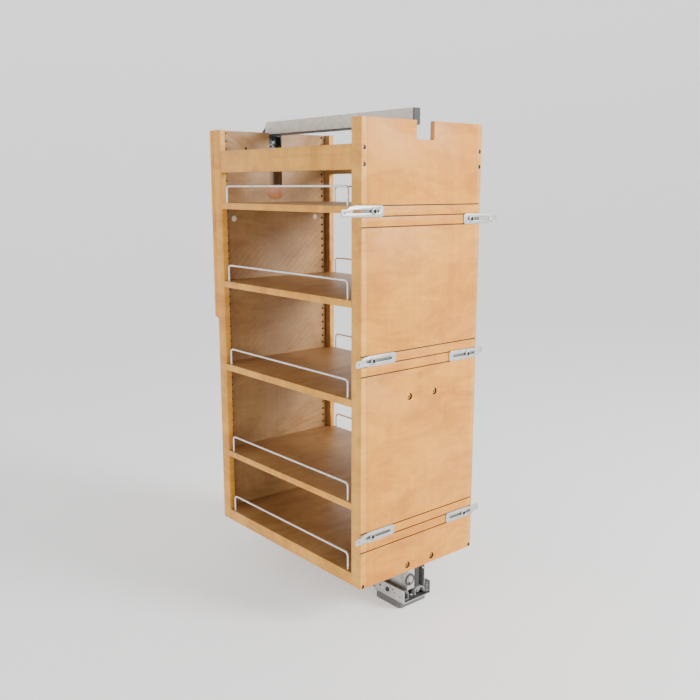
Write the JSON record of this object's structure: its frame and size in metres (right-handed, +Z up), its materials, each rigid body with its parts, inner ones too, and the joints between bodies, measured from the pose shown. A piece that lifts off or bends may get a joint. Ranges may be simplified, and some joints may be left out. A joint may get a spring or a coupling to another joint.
{
  "type": "pull-out pantry",
  "caption": "Tall narrow wooden pull-out pantry with open shelves and wire guard rails, on ball-bearing slides below and above, with sliding brackets that carry the cabinet door.",
  "frame": {"origin": "centre of the front floor pad's underside, 57 mm behind the front panel's outer face", "axes": "+X to the right seen from the front, +Y towards the back of the cabinet, +Z up"},
  "size_m": [0.4645, 0.5909, 1.115],
  "materials": {
    "wood_panel": "clear satin lacquer on maple plywood",
    "wood_stile": "clear satin lacquer on solid maple",
    "wood_shelf": "clear satin lacquer on maple plywood, edge-banded",
    "chrome_wire": "polished wire",
    "zinc_plate": "zinc-plated sheet",
    "slide_steel": "zinc-plated rolled channel",
    "screw_steel": "dull zinc",
    "black_metal": "black coated sheet",
    "black_plastic": "moulded",
    "grey_plastic": "moulded",
    "white_plastic": "moulded screw cap"
  },
  "bodies": {
    "cabinet_side": {"floor_pad_front": "grey_plastic", "floor_pad_rear": "grey_plastic", "foot_bracket_front": "zinc_plate", "foot_bracket_rear": "zinc_plate", "bottom_slide_outer_left": "slide_steel", "bottom_slide_outer_right": "slide_steel", "top_slide_outer": "slide_steel", "rear_stop": "black_plastic"},
    "pantry": {"front_panel": "wood_panel", "rear_panel": "wood_panel", "rear_backing_board": "wood_panel", "front_stile_left": "wood_stile", "front_stile_right": "wood_stile", "rear_stile_left": "wood_stile", "rear_stile_right": "wood_stile", "side_rail_left": "wood_stile", "side_rail_right": "wood_stile", "bottom_board": "wood_shelf", "shelf_lower": "wood_shelf", "shelf_middle": "wood_shelf", "shelf_upper": "wood_shelf", "shelf_top": "wood_shelf", "wire_rail_bottom_left": "chrome_wire", "wire_rail_bottom_right": "chrome_wire", "wire_rail_lower_left": "chrome_wire", "wire_rail_lower_right": "chrome_wire", "wire_rail_middle_left": "chrome_wire", "wire_rail_middle_right": "chrome_wire", "wire_rail_upper_left": "chrome_wire", "wire_rail_upper_right": "chrome_wire", "wire_rail_top_left": "chrome_wire", "wire_rail_top_right": "chrome_wire", "clamp_screw_top_left": "screw_steel", "clamp_screw_top_right": "screw_steel", "clamp_screw_middle_left": "screw_steel", "clamp_screw_middle_right": "screw_steel", "clamp_screw_bottom_left": "screw_steel", "clamp_screw_bottom_right": "screw_steel", "shelf_screw_left": "screw_steel", "shelf_screw_right": "screw_steel", "bottom_screw_left": "screw_steel", "bottom_screw_right": "screw_steel", "adjuster_dial": "screw_steel", "bottom_slide_inner_left": "slide_steel", "bottom_slide_inner_right": "slide_steel", "top_slide_inner": "slide_steel", "carriage": "zinc_plate", "stop_plate": "zinc_plate", "catch_block": "black_plastic", "top_slide_cap": "black_plastic", "slot_bracket": "black_metal"},
    "bottom_middle_left": {"bottom_slide_middle_left": "slide_steel"},
    "bottom_middle_right": {"bottom_slide_middle_right": "slide_steel"},
    "top_middle": {"top_slide_middle": "slide_steel"},
    "door_bracket_top_left": {"door_bracket_top_left": "zinc_plate"},
    "door_bracket_top_right": {"door_bracket_top_right": "zinc_plate"},
    "door_bracket_middle_left": {"door_bracket_middle_left": "zinc_plate"},
    "door_bracket_middle_right": {"door_bracket_middle_right": "zinc_plate"},
    "door_bracket_bottom_left": {"door_bracket_bottom_left": "zinc_plate"},
    "door_bracket_bottom_right": {"door_bracket_bottom_right": "zinc_plate"}
  },
  "joints": [
    {"name": "pull_out", "type": "slide", "parent": "cabinet_side", "child": "pantry", "axis": [0, -1, 0], "range_m": [0, 0.5]},
    {"name": "bottom_middle_left_slide", "type": "slide", "parent": "cabinet_side", "child": "bottom_middle_left", "axis": [0, -1, 0], "range_m": [0, 0.25]},
    {"name": "bottom_middle_right_slide", "type": "slide", "parent": "cabinet_side", "child": "bottom_middle_right", "axis": [0, -1, 0], "range_m": [0, 0.25]},
    {"name": "top_middle_slide", "type": "slide", "parent": "cabinet_side", "child": "top_middle", "axis": [0, -1, 0], "range_m": [0, 0.25]},
    {"name": "door_bracket_top_left_adjust", "type": "slide", "parent": "pantry", "child": "door_bracket_top_left", "axis": [-1, 0, 0], "range_m": [-0.053, 0.011]},
    {"name": "door_bracket_top_right_adjust", "type": "slide", "parent": "pantry", "child": "door_bracket_top_right", "axis": [1, 0, 0], "range_m": [-0.057, 0.007]},
    {"name": "door_bracket_middle_left_adjust", "type": "slide", "parent": "pantry", "child": "door_bracket_middle_left", "axis": [-1, 0, 0], "range_m": [-0.014, 0.049]},
    {"name": "door_bracket_middle_right_adjust", "type": "slide", "parent": "pantry", "child": "door_bracket_middle_right", "axis": [1, 0, 0], "range_m": [-0.018, 0.044]},
    {"name": "door_bracket_bottom_left_adjust", "type": "slide", "parent": "pantry", "child": "door_bracket_bottom_left", "axis": [-1, 0, 0], "range_m": [-0.014, 0.049]},
    {"name": "door_bracket_bottom_right_adjust", "type": "slide", "parent": "pantry", "child": "door_bracket_bottom_right", "axis": [1, 0, 0], "range_m": [-0.02, 0.043]}
  ],
  "couplings": [
    {"joint": "bottom_middle_left_slide", "follows": "pull_out", "ratio": 0.5},
    {"joint": "bottom_middle_right_slide", "follows": "pull_out", "ratio": 0.5},
    {"joint": "top_middle_slide", "follows": "pull_out", "ratio": 0.5}
  ]
}
